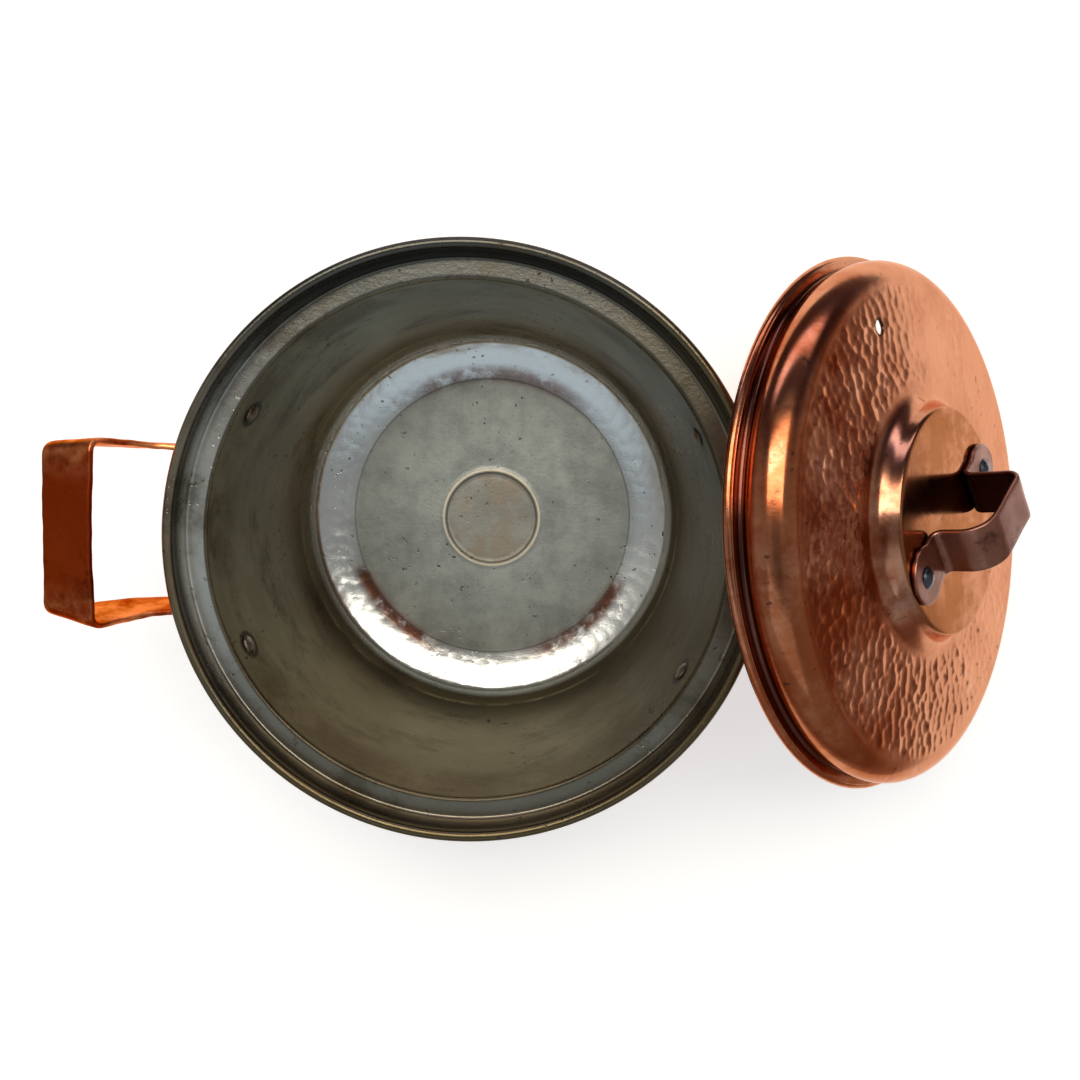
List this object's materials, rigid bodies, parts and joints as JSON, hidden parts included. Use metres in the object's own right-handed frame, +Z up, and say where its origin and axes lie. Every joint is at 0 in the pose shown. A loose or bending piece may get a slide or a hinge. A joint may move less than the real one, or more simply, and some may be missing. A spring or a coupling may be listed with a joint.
{
  "type": "saucepan",
  "caption": "Round hammered copper saucepan with tinned inside, squared strap handles riveted to the wall, and a domed lid with an arched strap handle, leaning beside it.",
  "frame": {"origin": "centre of the pan's flat base, on its underside", "axes": "+Z up through the mouth of the pan; +X along the line through the two side handles, towards the leaning lid; +Y to the left of +X seen from above"},
  "size_m": [0.3831, 0.2251, 0.1579],
  "materials": {
    "pan_copper_tinned": "hammered copper sheet, wiped with tin inside, dull with wear",
    "wire": "plain drawn wire, hidden in the rolled edges",
    "strap_copper": "satin copper strap, darkened along the middle",
    "lid_copper": "polished hammered copper",
    "dark_copper": "dark red-brown oxidised copper",
    "rivet": "tinned copper, worn",
    "dark_rivet": "dark oxidised, slightly shiny"
  },
  "bodies": {
    "pot": {"pot_body": "pan_copper_tinned", "rim_wire": "wire", "handle_left": "strap_copper", "handle_right": "strap_copper", "rivet_left_back": "rivet", "rivet_left_front": "rivet", "rivet_right_back": "rivet", "rivet_right_front": "rivet"},
    "lid": {"lid_shell": "lid_copper", "lid_wire": "wire", "lid_handle": "dark_copper", "lid_rivet_upper": "dark_rivet", "lid_rivet_lower": "dark_rivet"}
  },
  "joints": [
    {"name": "lid_lift", "type": "slide", "parent": "pot", "child": "lid", "axis": [0, 0, 1], "range_m": [0, 0.15]}
  ]
}
